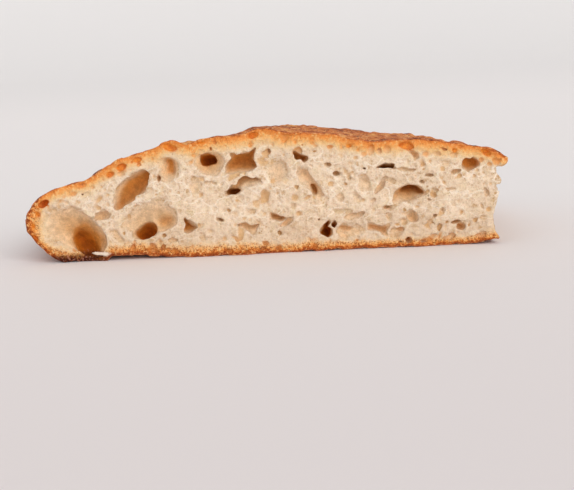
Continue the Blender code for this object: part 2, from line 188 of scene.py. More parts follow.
# Smaller bubbles in the front cut: (x, z, half width, half height, depth, and a tilt in degrees if any)
FRONT_BUBBLES = (
    # slits and lenses
    (-37.8, 29, 0.7, 1.1, 3.4, -13), (-19.6, 27, 2.6, 0.9, 1.2, -6), (-16.5, 12.9, 1.1, 0.5, 3.5, -23),
    (7.2, 11.4, 2.5, 0.8, 2.4, 30), (28.3, 7.9, 2.6, 0.9, 2.8, -6), (31.8, 12.7, 3.4, 1, 1.8, 14),
    (32.6, 19.3, 2.4, 1.1, 1.4, -43), (35.9, 29.4, 0.8, 0.4, 3), (50, 28.6, 4.8, 0.6, 1.6, -5),
    (43.5, 14.6, 1.6, 0.6, 3.4, 5), (68, 8.5, 1.9, 0.6, 3.4, 2), (68, 26.8, 2, 0.8, 2.4, 12),
    (58.9, 25.9, 1.6, 0.5, 2), (65.7, 20.8, 1.9, 0.5, 1.6, -8), (79.2, 18.7, 1.4, 0.7, 1.4, -63),
    (77.6, 14, 1.5, 0.7, 1.4, -60), (67.8, 33.2, 1.4, 0.6, 1.4), (41.6, 22.8, 3.1, 1.3, 2.2, 52),
    (45.3, 24.2, 1.4, 1.2, 1.8, 20), (26.2, 19.6, 1.5, 1.4, 1.5), (30, 25.6, 1.3, 1, 1.4, 20),
    (25.4, 28, 1.3, 1.1, 2.6, -20), (22.9, 31.2, 1, 0.7, 2.4), (26.5, 14, 4.6, 0.9, 1.2, 8),
    (30.7, 6, 5.2, 3.6, 1.3, -12),
    # cells
    (-59.4, 16.5, 3, 1.9, 2.8, 7), (-54.6, 9.6, 3, 1.2, 1, -50), (-51, 31.6, 1.6, 1.5, 1.5),
    (-65.6, 24.4, 1.9, 1.6, 1.1, 10), (-67.6, 21.8, 1.4, 1.1, 1), (-73.5, 22, 1.5, 0.9, 0.9),
    (-77.9, 7.7, 1, 0.8, 1), (-24.4, 24.4, 2.4, 5.6, 1.6, 9), (-22.9, 7, 1.4, 2.6, 1.3, 2),
    (-6.4, 15.6, 1.6, 1.4, 1.4), (-2.6, 21.6, 1.3, 1.2, 0.9), (-28, 26, 2, 1.6, 0.7),
    (3.5, 30.6, 3.8, 5, 1, 14), (10.3, 16.8, 1, 1.2, 1), (35.6, 23.6, 2.4, 3.4, 1.3, 8),
    (21.3, 17.2, 1.2, 2.6, 1, -20), (38.5, 17.9, 1.5, 1, 1.5, 25), (43.5, 11.4, 1, 0.8, 1.4),
    (51.9, 11.6, 2, 2, 2.2), (48.9, 9.7, 1.5, 1.4, 1.6), (58.7, 9, 1.2, 0.9, 1.6, 20),
    (60.4, 11.2, 0.7, 0.6, 2.4), (63, 13.1, 0.6, 0.7, 2.4), (69.9, 6.7, 1.7, 1.4, 3.4, 10),
    (78.1, 9.6, 1.1, 1.1, 1.2), (56, 23.7, 0.9, 0.6, 2.2), (59.9, 20.2, 1.4, 0.9, 1.2),
    (58.3, 17, 0.9, 0.8, 1.4), (46.3, 5.4, 3.4, 2.6, 1.9), (47.5, 6.6, 1.6, 1.2, 3),
    (51.2, 2.2, 1.4, 1.3, 4.5), (48.2, 2, 0.8, 0.6, 2), (56.2, 1.8, 1.2, 0.5, 2.5),
    (65.4, 3.3, 2.2, 1.2, 1.6, 10), (77.2, 3.6, 2.4, 1.4, 2.2), (-9.7, 20.5, 1.8, 1.6, 0.8),
    (-5.4, 33.6, 0.8, 0.8, 0.8), (64, 30.5, 2.2, 1.2, 0.8), (61.6, 33.6, 1.4, 0.7, 1.2),
    (38.3, 35.8, 1.3, 1.6, 1.8), (41.5, 35.5, 0.9, 0.9, 1.6), (43.6, 35.4, 1, 1, 1.6),
    (-39.6, 6, 2.2, 1.2, 1.2), (-34.2, 6.6, 2.4, 0.9, 1.6), (64.4, 35.2, 1.2, 0.6, 1.4),
)

# Shallow bubbles in the browned edge of the cut, orange inside
RIM_BUBBLES = (
    (-50.7, 34.2, 1.7, 1.4, 1.1), (-45.6, 36.2, 1.6, 1.3, 1.1), (-55.4, 31.6, 2, 1.2, 0.9, 25),
    (-32.6, 40, 3, 1.4, 1.2, -22), (-22, 41, 3, 1.1, 1.1, 10), (-3.4, 42.9, 2, 1, 1.2, 14),
    (50.4, 36.9, 2.9, 1.1, 1.2, -4), (-84, 9.6, 1.2, 1.6, 1.2, 30), (-84.4, 13.6, 1, 1.6, 1),
    (-82.6, 18, 1.2, 1.4, 1), (-79.9, 22, 2.2, 1.1, 3.6, 20), (-62, 1.8, 2.4, 0.8, 1.2, 8),
    (79, 33.2, 2.2, 0.9, 1.2, -28), (30.4, 38, 1.4, 0.7, 0.9), (67.6, 34.6, 1.2, 0.6, 0.8),
)

# A loose pale flake on the heel, in the same form
FLAKE = ((-61, 2.9, 3, 0.62, 0.8, -6),)

# Bubbles open in the right cut. Their heights and depths are shares of the radius, their tilt is in radians,
# and they reach up to a share of the top's height.
END_BUBBLES = 17
END_BUBBLE_RADIUS = (1.4, 4.2)
END_BUBBLE_HEIGHT = (0.55, 0.95)
END_BUBBLE_DEPTH = (0.7, 1.5)
END_BUBBLE_TILT = 0.5
END_BUBBLE_SPACING = 1.05
END_BUBBLE_REACH = 0.8
END_MARGIN = 3.5
END_SEED = 11

# Small cells scattered over the two cuts. Each row has how many are tried, their radii from and to, how far
# behind the cut their centres lie, from and to, as a share of the radius and below zero in front of it, and
# the height that they reach.
FRONT_CELLS = (
    (260, 1.3, 2.4, -0.85, -0.65, 40), (1500, 0.75, 1.3, -0.7, -0.2, 43),
    (4600, 0.45, 0.8, -0.6, 0, 43), (3200, 0.35, 0.8, -0.35, 0.2, 5),
)
END_CELLS = (
    (140, 1.2, 2.2, -0.8, -0.4, 40), (420, 0.8, 1.2, -0.6, 0.2, 40), (500, 0.55, 0.8, -0.4, 0.4, 40),
)
CELLS_LOWEST, CELLS_BEHIND_FRONT, CELLS_SHORT_OF_END = 0.6, 3.0, 2.0
CELL_HEIGHT, CELL_DEPTH, CELL_TILT = (0.5, 1.0), (0.7, 1.0), 0.5
CELL_SPACING = 1.05
CELL_SEED = 23

# Only this share of the cells is kept where the top crust is nearer than this
RIM_CELLS_SHARE, RIM_CELLS_FROM = 0.25, 2.6

# Fine irregular pores, open where a noise is strong. Each row has the size of its features, how strong it has
# to be, how far its excess counts as a distance, and its seed. The pores fade away behind the cuts.
FOAM = ((2.0, 1.9, 1.1, 50), (1.15, 1.7, 0.7, 51))
FOAM_FADE, FOAM_FADE_FROM = 1.1, 0.4
FOAM_AT_BASE, FOAM_AT_BASE_REACH = 0.25, 3.0

# Small blisters of the top crust, some of them burst. The height is a share of the radius.
FINE_BLISTERS = 1500
FINE_BLISTER_RADIUS, FINE_BLISTER_SPREAD = 0.6, 1.7
FINE_BLISTER_HEIGHT = (0.08, 0.2)
FINE_BLISTER_STRETCH = (0.7, 1.4)
BURST_SHARE, BURST_DEPTH = 0.14, 2.2
FINE_BLISTER_SEED = 41

# How far the relief of the top is raised, and how it grows from its share at the front cut
RELIEF_RAISED = 0.25
RELIEF_AT_CUT, RELIEF_GROWS_FROM, RELIEF_GROWS_OVER = 0.55, 12.0, 34.0
RIM_EVEN_NEAR_CUT = 6.0

# The spread that cubic B-splines leave of random values, along each axis
SPLINE_SPREAD = 0.692

# Layers of noise, each as its strength, the size of its features and its seed
NOISE = {
    "top": ((0.13, 1.5, 6), (0.13, 2.4, 7), (0.12, 5, 8)),
    "wrinkles": ((0.4, 4.2, 9),),
    "wrinkled areas": ((1, 16, 10),),
    "rim": ((0.45, 8, 11), (0.2, 3, 12)),
    "toast": ((0.1, 9, 13),),
    "fine toast": ((0.08, 2.6, 40),),
    "front cut": ((0.42, 8, 14), (0.13, 3, 15), (0.05, 1.3, 41)),
    "right cut": ((0.45, 3.2, 16), (0.3, 1.5, 17)),
    "lip": ((0.4, 3, 18), (0.4, 1.3, 43)),
    "under the lip": ((0.4, 1.8, 42),),
    "base": ((0.1, 1.3, 19), (0.12, 4, 20)),
    "grain": ((0.12, 1.4, 21),),
    "ragged edges": ((0.24, 1.3, 24),),
    "warp": ((0.5, 5, 22), (0.2, 1.6, 32)),
    "crowding": ((0.3, 11, 52),),
}

# How strongly the crust is toasted: in all, and more or less of it by what is there
TOAST = 0.46
TOAST_BY_DIMPLES, TOAST_BY_RELIEF, TOAST_BY_BLISTERS = -0.075, 0.34, 0.08
TOAST_AT_RIGHT, TOAST_AT_KNOB, TOAST_AT_RIM, TOAST_RIM_REACH = 0.2, 0.25, 0.28, 12.0
TOAST_RIGHT_FROM, TOAST_RIGHT_OVER = 20.0, 30.0
TOAST_OF_BASE = 0.72
TOAST_EVEN_NEAR_CUT = 25.0

# How thick the browned edge of the cut is at the top, the base and the rim. It is thicker at the crest, and
# thinner in the nose, at the lip and along the right of the base.
TOP_BROWNED, BASE_BROWNED, RIM_BROWNED = 5.3, 3.7, 7.0
CREST_AT, CREST_SPREAD, CREST_THICKER = 3.0, 16.0, 1.0
NOSE_FROM, NOSE_FADE, NOSE_THINNER = -35.0, 20.0, 0.6
LIP_FROM, LIP_FADE, LIP_THINNER, LIP_DARKER = 77.0, 5.0, 1.7, 0.24
BASE_THINS_FROM, BASE_THINS_OVER, BASE_THINNER = -15.0, 30.0, 1.0

# The dark heel: its middle, and how far it spreads along and behind the cut
HEEL_AT, HEEL_SPREAD, HEEL_REACH = -69.0, 13.0, 16.0

# How far the edges of the bubbles are rounded off, and how far behind the cut they are ragged
EDGE_WEAR = 0.3
RAGGED_FROM, RAGGED_FADE = 0.3, 1.4

# The least crust that no bubble breaks through, how steep the top may count as, and how much of a height over
# the base, which slopes at its rim, counts as depth
SKIN = 0.9
STEEPEST = 3.0
BASE_SHARE = 0.85

# Grain of the crust, within limits and off the base, and its share in the cuts
GRAIN_LIMITS, GRAIN_FROM, GRAIN_IN_CUTS = (-0.15, 0.35), 0.6, 0.5

# Pits in the base, deeper near the front cut
PITS_NEAR_CUT, PITS_NEAR_CUT_REACH, DEEPEST_PIT = 2.4, 3.0, 0.8

# How much the warp bends the openings, and from which half size on it bends a bubble in full
OPENING_BENT = 0.8
FULLY_BENT_FROM = 2.2

# The directions in which the two cuts face
FRONT, RIGHT = Vector((0, -1, 0)), Vector((1, 0, 0))

# The grid that the form is worked out on is finest behind the front cut
STEP = 0.42
BACK_STEP = 0.62
FINE_DEPTH = 13.0
GRID_MARGIN = 1.5
MOST_TRIANGLES = 196000

# What a field of distances holds where nothing is near
FAR = 20.0


def smooth(t):
    t = np.clip(t, 0, 1)
    return t * t * (3 - 2 * t)


def crest(x, behind):
    """Height of the top over the front cut, softer and turned towards the corner further behind it."""
    xs, zs = zip(*CREST)
    spread = 1 + behind / CREST_SOFTENING
    turned = x - CREST_LEAN * behind * (1 - smooth((x - LEAN_LEFT_OF) / LEAN_FADE))
    height = sum(np.interp(turned + step * spread, xs, zs) for step in (-2, -1, 0, 1, 2)) / 5
    sides = smooth((LEVEL_FROM - x) / LEFT_FADE) + smooth((x - LEVEL_TO) / RIGHT_FADE)
    return height - SIDE_FALL * np.minimum(behind, SIDE_FALL_REACH) * sides


def rim_distance(x, y):
    """How far a plan point lies inside the crusted outline, whose back left corner is round."""
    from_left = x - LEFT_X
    from_back = BACK_Y - y
    in_corner = (from_left < CORNER_RADIUS) & (from_back < CORNER_RADIUS)
    round_corner = CORNER_RADIUS - np.hypot(CORNER_RADIUS - from_left, CORNER_RADIUS - from_back)
    return np.where(in_corner, round_corner, np.minimum(from_left, from_back))


def dimple_depth(x, y):
    return sum(
        depth * np.exp(-1.6 * (np.hypot(x - at_x, y - at_y) / radius) ** 3)
        for at_x, at_y, radius, depth in DIMPLES
    )


def raised(x, y, at_x, at_y, radius, height):
    return height * np.exp(-1.5 * (np.hypot(x - at_x, y - at_y) / radius) ** 2)


def blister_height(x, y):
    rng = random.Random(BLISTER_SEED)
    height = 0.0
    for _ in range(BLISTERS):
        at_x = rng.uniform(LEFT_X, RIGHT_X)
        at_y = rng.uniform(FRONT_Y + BLISTER_RADIUS[1], BACK_Y)
        height = height + raised(x, y, at_x, at_y, rng.uniform(*BLISTER_RADIUS), rng.uniform(*BLISTER_HEIGHT))
    return height


def full_height(x, y):
    """Height of the top before the crusted rim rounds it down."""
    slope = np.sin(math.pi / 2 * np.clip((BACK_Y - y) / BACK_SLOPE_REACH, 0.0, 1.0))
    full = crest(x, y - FRONT_Y) * (BACK_RIM_SHARE + (1 - BACK_RIM_SHARE) * slope)
    wave = np.sin(x / 9.1 + 1.3 * np.sin(y / 13)) + np.sin(y / 6.7 + x / 21)
    uneven = SWELL * wave + blister_height(x, y)
    full = full + uneven * smooth((y - FRONT_Y) / EVEN_NEAR_CUT) - dimple_depth(x, y)
    return full + raised(x, y, *KNOB)


def round_down(full, inward):
    inward = np.clip(inward / RIM_TOP_REACH, 0, 1)
    lip = NOSE_HEIGHT + NOSE_HALF_LIP
    return lip + (full - lip) * np.sqrt(1 - (1 - inward) ** 2)


def base_height(x, y):
    outward = 1 - np.clip(rim_distance(x, y) / RIM_BASE_REACH, 0, 1)
    return (NOSE_HEIGHT - NOSE_HALF_LIP) * outward**RIM_BASE_POWER


def base_hollow(x, y):
    """How far the base is off the surface beneath the front cut."""
    along = smooth((x - HOLLOW_FROM) / HOLLOW_STEP) * (1 - smooth((x - HOLLOW_FROM) / HOLLOW_LENGTH))
    lifted = LIFT_HEIGHT * smooth((x - LIFT_FROM) / LIFT_LENGTH)
    return (HOLLOW_HEIGHT * along + lifted) * (1 - smooth((y - FRONT_Y) / HOLLOW_REACH))


def spline_weights(points, size):
    """How much each value of a lattice of this spacing counts at each point, by cubic B-splines."""
    place = (points - points[0]) / size + 1
    first = np.floor(place).astype(int)
    t = place - first
    shares = ((1 - t) ** 3, 3 * t**3 - 6 * t**2 + 4, -3 * t**3 + 3 * t**2 + 3 * t + 1, t**3)
    weights = np.zeros((len(points), first.max() + 3), np.float32)
    rows = np.arange(len(points))
    for step, share in enumerate(shares):
        weights[rows, first - 1 + step] = share / 6
    return weights


def grid_noise(axes, size, seed):
    """Smooth noise of about unit spread over a whole grid, with features of about this size."""
    weights = [spline_weights(axis, size) for axis in axes]
    rng = np.random.default_rng(seed)
    values = rng.standard_normal([w.shape[1] for w in weights]).astype(np.float32)
    for weight in weights:
        values = np.tensordot(values, weight, axes=(0, 1))
    return values * (1 / SPLINE_SPREAD) ** len(axes)


def noise(name, *axes, step=0):
    """The layers of noise under this name, over a grid of these axes. Each step gives others like them."""
    return sum(strength * grid_noise(axes, size, seed + step) for strength, size, seed in NOISE[name])


def grid_axes():
    xs = np.arange(LEFT_X - GRID_MARGIN, RIGHT_X + GRID_MARGIN + STEP, STEP)
    fine = np.arange(FRONT_Y - GRID_MARGIN, FRONT_Y + FINE_DEPTH, STEP)
    coarse = np.arange(fine[-1] + BACK_STEP, BACK_Y + GRID_MARGIN + BACK_STEP, BACK_STEP)
    zs = np.arange(-GRID_MARGIN, HIGH.z + 2 * GRID_MARGIN, STEP)
    return xs, np.concatenate((fine, coarse)), zs


def window(axes, low, high):
    """The slices of a grid between two corners, on each axis."""
    return tuple(slice(*np.searchsorted(axis, ends)) for axis, *ends in zip(axes, low, high))


def on_axis(values, axis):
    """A row of values laid along one axis of a grid."""
    return values.reshape([-1 if n == axis else 1 for n in range(3)])


def outline_distance(outline, x, z):
    """Distance to a closed outline of straight sides, below zero inside it."""
    nearest, inside = np.inf, False
    for (x0, z0), (x1, z1) in zip(outline, outline[1:] + outline[:1]):
        side_x, side_z = x1 - x0, z1 - z0
        along = np.clip(((x - x0) * side_x + (z - z0) * side_z) / (side_x**2 + side_z**2), 0, 1)
        nearest = np.minimum(nearest, (x - x0 - along * side_x) ** 2 + (z - z0 - along * side_z) ** 2)
        if side_z:
            crossed = ((z0 > z) != (z1 > z)) & (x < x0 + (z - z0) * side_x / side_z)
            inside = inside ^ crossed
    return np.where(inside, -1.0, 1.0) * np.sqrt(nearest)


def rounded(outline):
    """The same outline with its corners cut twice, which leaves it nearly round."""
    for _ in range(2):
        outline = [
            (x0 + share * (x1 - x0), z0 + share * (z1 - z0))
            for (x0, z0), (x1, z1) in zip(outline, outline[1:] + outline[:1])
            for share in (0.25, 0.75)
        ]
    return outline


def soft_least(first, second, softness):
    """The lesser of two fields, blended where they differ by less than the softness."""
    if not softness:
        return np.minimum(first, second)
    near = np.clip(1 - np.abs(first - second) / softness, 0, 1)
    return np.minimum(first, second) - softness / 4 * near**2


def add_fine_blisters(relief, xs, ys):
    rng = random.Random(FINE_BLISTER_SEED)
    for _ in range(FINE_BLISTERS):
        at_x, at_y = rng.uniform(LEFT_X, RIGHT_X), rng.uniform(FRONT_Y, BACK_Y)
        radius = FINE_BLISTER_RADIUS + FINE_BLISTER_SPREAD * rng.random() ** 3
        height = radius * rng.uniform(*FINE_BLISTER_HEIGHT)
        burst = rng.random() < BURST_SHARE
        stretch = rng.uniform(*FINE_BLISTER_STRETCH)
        reach = radius * 1.5
        near = window((xs, ys), (at_x - reach, at_y - reach), (at_x + reach, at_y + reach))
        u = (xs[near[0]][:, None] - at_x) / (radius * stretch)
        v = (ys[near[1]][None, :] - at_y) * stretch / radius
        outward = u**2 + v**2
        bump = height * np.clip(1 - outward, 0, 1) ** 1.3
        if burst:
            bump = bump - height * BURST_DEPTH * np.clip(1 - 3.2 * outward, 0, 1)
        relief[near] += bump


def top_maps(xs, ys):
    """Height of the top, distance inside the rim and strength of the toasting, over the grid's plan."""
    x, y = xs[:, None], ys[None, :]
    behind = y - FRONT_Y
    relief = noise("top", xs, ys)
    relief -= np.abs(noise("wrinkles", xs, ys)) * smooth(0.5 + noise("wrinkled areas", xs, ys))
    relief += RELIEF_RAISED
    add_fine_blisters(relief, xs, ys)
    uneven = np.clip(0.5 + noise("rim", xs, ys), 0, 2)
    inward = rim_distance(x, y) - uneven * smooth(behind / RIM_EVEN_NEAR_CUT)
    grown = smooth((behind - RELIEF_GROWS_FROM) / RELIEF_GROWS_OVER)
    top = round_down(full_height(x, y) + relief * (RELIEF_AT_CUT + (1 - RELIEF_AT_CUT) * grown), inward)
    off_cut = smooth(behind / TOAST_EVEN_NEAR_CUT)
    toast = TOAST + TOAST_BY_DIMPLES * dimple_depth(x, y) + TOAST_BY_RELIEF * relief
    toast = toast + TOAST_BY_BLISTERS * blister_height(x, y)
    toast = toast + noise("toast", xs, ys) * off_cut + noise("fine toast", xs, ys)
    toast = toast + TOAST_AT_RIGHT * smooth((x - TOAST_RIGHT_FROM) / TOAST_RIGHT_OVER) * (1 - off_cut)
    toast = toast + TOAST_AT_KNOB * raised(x, y, *KNOB)
    toast = toast + TOAST_AT_RIM * (1 - smooth(inward / TOAST_RIM_REACH))
    return top, inward, toast


def front_cut(xs, zs):
    """Where the front cut lies, knife-torn crumb included, over x and z."""
    x, z = xs[:, None], zs[None, :]
    wave = np.sin(x / 5.3 + z / 4) * np.sin(z / 3.7 - x / 11)
    torn = FRONT_CUT + FRONT_CUT_WAVE * wave + noise("front cut", xs, zs)
    return FRONT_Y + np.clip(torn, 0.0, FRONT_CUT_DEEPEST)


def right_cut(ys, zs, lip_underside):
    """Where the right end lies over y and z: the torn cut, and the lip of crust above it."""
    behind = ys[:, None] - FRONT_Y
    z = zs[None, :]
    near_front = np.interp(zs, *zip(*END_PROFILE))[None, :]
    bow = END_X - END_BOW * np.sin(math.pi * z / END_BOW_HEIGHT + behind / 23)
    share = np.exp(-((behind / END_PROFILE_FADE) ** 2))
    cut = bow + (near_front - bow) * share + noise("right cut", ys, zs) * (1 - 0.55 * share)
    thicker = LIP_THICKENING * np.exp(-((behind / LIP_THICKENING_REACH) ** 2))
    under = lip_underside[:, None] - thicker + noise("under the lip", ys, zs)
    reach = LIP_REACH * (1 - LIP_WAVE + LIP_WAVE * np.cos(behind / LIP_WAVE_LENGTH))
    reach = reach * (1 - LIP_TAPER + LIP_TAPER * smooth((z - under) / LIP_TAPER_HEIGHT))
    lip = END_X + reach + noise("lip", ys, zs)
    over = smooth((z - under) / LIP_ROUNDING + 0.5)
    return np.minimum(cut + (lip - cut) * over, RIGHT_X)


class Loaf:
    """The form as fields on the grid: depth under the crust and behind the cuts, and distance to bubbles."""

    def __init__(self):
        self.axes = grid_axes()
        xs, ys, zs = self.axes
        x, y, z = (on_axis(axis, n) for n, axis in enumerate(self.axes))
        plan = (xs[:, None], ys[None, :])
        top, inward, self.toast = top_maps(xs, ys)
        steep_x, steep_y = np.gradient(top, xs, ys)
        steep = np.clip(np.sqrt(1 + steep_x**2 + steep_y**2), 1, STEEPEST)
        near_cut = 1 - smooth((plan[1] - FRONT_Y) / PITS_NEAR_CUT_REACH)
        pits = np.clip(noise("base", xs, ys) * (1 + PITS_NEAR_CUT * near_cut), 0, DEEPEST_PIT)
        base = base_height(*plan) + base_hollow(*plan) + pits
        grain = noise("grain", *self.axes)
        self.under_top = ((top[:, :, None] - z) / steep[:, :, None]).astype(np.float32)
        self.over_base = (z - base[:, :, None]).astype(np.float32) * BASE_SHARE
        self.in_rim = np.broadcast_to(inward[:, :, None], self.under_top.shape).astype(np.float32)
        crust = np.minimum(np.minimum(self.under_top, self.over_base), self.in_rim)
        grained = np.clip(grain, *GRAIN_LIMITS) * (self.over_base > GRAIN_FROM)
        self.crust = (crust - grained).astype(np.float32)
        self.front = front_cut(xs, zs)
        self.behind_front = (y - self.front[:, None, :]).astype(np.float32)
        lip_underside = top[np.searchsorted(xs, END_X)] - LIP_THICKNESS
        inside_end = (right_cut(ys, zs, lip_underside)[None] - x).astype(np.float32)
        self.cut = np.minimum(self.behind_front, inside_end) - GRAIN_IN_CUTS * grain
        self.holes, self.placed, self.rim_bubbles, self.flake = (self.nothing() for _ in range(4))
        self.cells = self.foam()
        self.warp = [noise("warp", *self.axes, step=n) for n in range(3)]
        self.ragged = noise("ragged edges", *self.axes)

    def nothing(self):
        return np.full(self.crust.shape, FAR, np.float32)

    def foam(self):
        """Distance to the fine pores, which are fewer and larger further behind the cuts."""
        bread = noise("crowding", *self.axes) + FOAM_FADE * np.maximum(self.cut - FOAM_FADE_FROM, 0)
        bread -= FOAM_AT_BASE * np.exp(-np.maximum(self.over_base, 0) / FOAM_AT_BASE_REACH)
        pores = self.nothing()
        for size, share, depth, seed in FOAM:
            pores = np.minimum(pores, depth * (share + bread - grid_noise(self.axes, size, seed)))
        return pores.astype(np.float32)

    def front_at(self, x, z):
        """Where the front cut lies at a place in it."""
        xs, _, zs = self.axes
        return self.front[np.searchsorted(xs, x), np.searchsorted(zs, z)]

    def bubble(self, field, centre, turn, half_sizes):
        """Opens one bubble, an ellipsoid bent by the warp. The rows of turn are its own three directions."""
        reach = max(half_sizes) + BUBBLE_MARGIN
        near = window(self.axes, [c - reach for c in centre], [c + reach for c in centre])
        small = min(half_sizes)
        bent = min(1.0, small / FULLY_BENT_FROM)
        offsets = [
            on_axis(self.axes[n][near[n]], n) - centre[n] + bent * self.warp[n][near] for n in range(3)
        ]
        squares = sum(
            (sum(part * offset for part, offset in zip(row, offsets)) / size) ** 2
            for row, size in zip(turn, half_sizes)
        )
        field[near] = np.minimum(field[near], (np.sqrt(squares) - 1) * small)

    def bubble_in_cut(self, field, on_cut, outward, opening, depth, tilt):
        """Opens a bubble whose opening in the cut has these half sizes."""
        offset = DEEP_OFFSET if depth > min(opening) else SHALLOW_OFFSET
        half_depth = depth / (1 + offset)
        half_width, half_height = (half / math.sqrt(1 - offset**2) for half in opening)
        centre = Vector(on_cut) - outward * half_depth * offset
        self.bubble(field, centre, directions(outward, tilt), (half_width, half_height, half_depth))

    def front_bubble(self, field, x, z, half_width, half_height, depth, tilt=0):
        on_cut = (x, self.front_at(x, z), z)
        self.bubble_in_cut(field, on_cut, FRONT, (half_width, half_height), depth, math.radians(tilt))

    def opening(self, depth, lean, softness, is_round, outline):
        """Opens one large bubble behind its outline in the front cut."""
        outline = rounded(outline) if is_round else outline
        xs, zs = zip(*outline)
        spread = OPENING_MARGIN + depth * max(abs(lean[0]), abs(lean[1]))
        low = (min(xs) - spread, FRONT_Y - GRID_MARGIN, min(zs) - spread)
        high = (max(xs) + spread, FRONT_Y + depth + OPENING_MARGIN, max(zs) + spread)
        near = window(self.axes, low, high)
        offset = DEEP_OFFSET if depth > DEEP_FROM else SHALLOW_OFFSET
        x, z = (on_axis(self.axes[n][near[n]], n) + OPENING_BENT * self.warp[n][near] for n in (0, 2))
        behind = np.maximum(self.behind_front[near], 0.0)
        across, up = (np.arange(min(row), max(row), OUTLINE_STEP) for row in (xs, zs))
        broad = -outline_distance(outline, *np.meshgrid(across, up)).min()
        distance = outline_distance(outline, x - lean[0] * behind, z - lean[1] * behind)
        section = math.sqrt(1 - offset**2) * np.maximum(1 + distance / broad, 0)
        distance = broad * (np.hypot(section, behind * (1 + offset) / depth - offset) - 1)
        self.holes[near] = soft_least(self.holes[near], distance, softness)

    def opened(self):
        """Below zero inside a bubble, none of which breaks the skin of the crust."""
        holes = self.holes + self.ragged * (1 - smooth((self.cut - RAGGED_FROM) / RAGGED_FADE))
        bubbles = np.minimum(np.minimum(holes, self.cells), self.rim_bubbles)
        return np.maximum(bubbles, SKIN - self.crust)

    def solid(self):
        """Below zero inside the bread, whose edges are a little rounded off."""
        body = soft_least(np.minimum(self.crust, self.cut), self.opened(), EDGE_WEAR)
        return -np.maximum(body, -self.flake)


def directions(outward, tilt):
    """A tilted bubble's own directions in a cut that faces outward: across, up and out."""
    turned = Matrix.Rotation(tilt, 3, outward)
    up = Vector((0, 0, 1))
    return turned @ up.cross(outward), turned @ up, outward


def end_bubbles():
    """Seeded draws of (y, z, radius) for the right cut, largest first and apart from each other."""
    rng = random.Random(END_SEED)
    small, large = END_BUBBLE_RADIUS
    placed = []
    while len(placed) < END_BUBBLES:
        radius = large + (small - large) * len(placed) / END_BUBBLES
        y = rng.uniform(FRONT_Y + END_MARGIN + radius, BACK_Y - END_MARGIN - radius)
        low = base_height(END_X, y) + radius + END_MARGIN / 2
        high = END_BUBBLE_REACH * round_down(full_height(END_X, y), rim_distance(END_X, y)) - radius
        z = rng.uniform(low, max(low, high))
        gaps = [math.hypot(y - b[0], z - b[1]) - (radius + b[2]) * END_BUBBLE_SPACING for b in placed]
        if high > low and min(gaps, default=1.0) > 0:
            placed.append((y, z, radius))
    return placed


def carve_bubbles(loaf):
    for row in OPENINGS:
        loaf.opening(*row)
    fields = ((loaf.holes, FRONT_BUBBLES), (loaf.rim_bubbles, RIM_BUBBLES), (loaf.flake, FLAKE))
    for field, bubbles in fields:
        for row in bubbles:
            loaf.front_bubble(field, *row)
    rng = random.Random(END_SEED + 1)
    for y, z, radius in end_bubbles():
        opening = (radius, radius * rng.uniform(*END_BUBBLE_HEIGHT))
        depth = radius * rng.uniform(*END_BUBBLE_DEPTH)
        tilt = rng.uniform(-END_BUBBLE_TILT, END_BUBBLE_TILT)
        loaf.bubble_in_cut(loaf.holes, (END_X, y, z), RIGHT, opening, depth, tilt)


def carve_cells(loaf, classes, outward, seed):
    """Small cells scattered over a cut, larger ones first, each clear of what is open already."""
    rng = random.Random(seed)
    for tries, small, large, shallow, deep, reach in classes:
        for _ in range(tries):
            radius = rng.uniform(small, large)
            z = rng.uniform(CELLS_LOWEST, reach)
            depth = radius * rng.uniform(shallow, deep)
            if outward is RIGHT:
                point = (END_X - depth, rng.uniform(FRONT_Y + CELLS_BEHIND_FRONT, BACK_Y), z)
            else:
                x = rng.uniform(LEFT_X, END_X - CELLS_SHORT_OF_END)
                point = (x, loaf.front_at(x, z) + depth, z)
            height = radius * rng.uniform(*CELL_HEIGHT)
            tilt = rng.gauss(0, CELL_TILT)
            index = tuple(np.searchsorted(axis, at) for axis, at in zip(loaf.axes, point))
            taken = min(loaf.holes[index], loaf.placed[index], loaf.rim_bubbles[index])
            if taken < radius * CELL_SPACING:
                continue
            if loaf.under_top[index] < RIM_CELLS_FROM and rng.random() > RIM_CELLS_SHARE:
                continue
            half_sizes = (radius, height, radius * rng.uniform(*CELL_DEPTH))
            loaf.bubble(loaf.placed, point, directions(outward, tilt), half_sizes)


def zero_surface(field, axes):
    """Vertices and quads of the surface where a gridded field is zero: one vertex in each cell it crosses."""
    inside = field < 0
    cell_shape = [n - 1 for n in field.shape]
    cells, points, quads = [], [], []
    for axis in range(3):
        u, v = (axis + 1) % 3, (axis + 2) % 3
        step = np.eye(3, dtype=int)[axis]
        place = np.argwhere(np.diff(inside, axis=axis))
        first = field[tuple(place.T)]
        last = field[tuple((place + step).T)]
        share = first / (first - last)
        point = np.stack([axes[n][place[:, n]] for n in range(3)], 1)
        point[:, axis] += share * (axes[axis][place[:, axis] + 1] - axes[axis][place[:, axis]])
        around = []
        for du, dv in ((1, 1), (0, 1), (0, 0), (1, 0)):
            cell = place.copy()
            cell[:, u] -= du
            cell[:, v] -= dv
            around.append(np.ravel_multi_index(tuple(cell.T), cell_shape))
            cells.append(around[-1])
            points.append(point)
        around = np.stack(around, 1)
        quads.append(np.where((first < 0)[:, None], around, around[:, ::-1]))
    used, member = np.unique(np.concatenate(cells), return_inverse=True)
    points = np.concatenate(points)
    count = np.bincount(member)
    vertices = np.stack([np.bincount(member, points[:, n]) / count for n in range(3)], 1)
    return vertices, np.searchsorted(used, np.concatenate(quads))


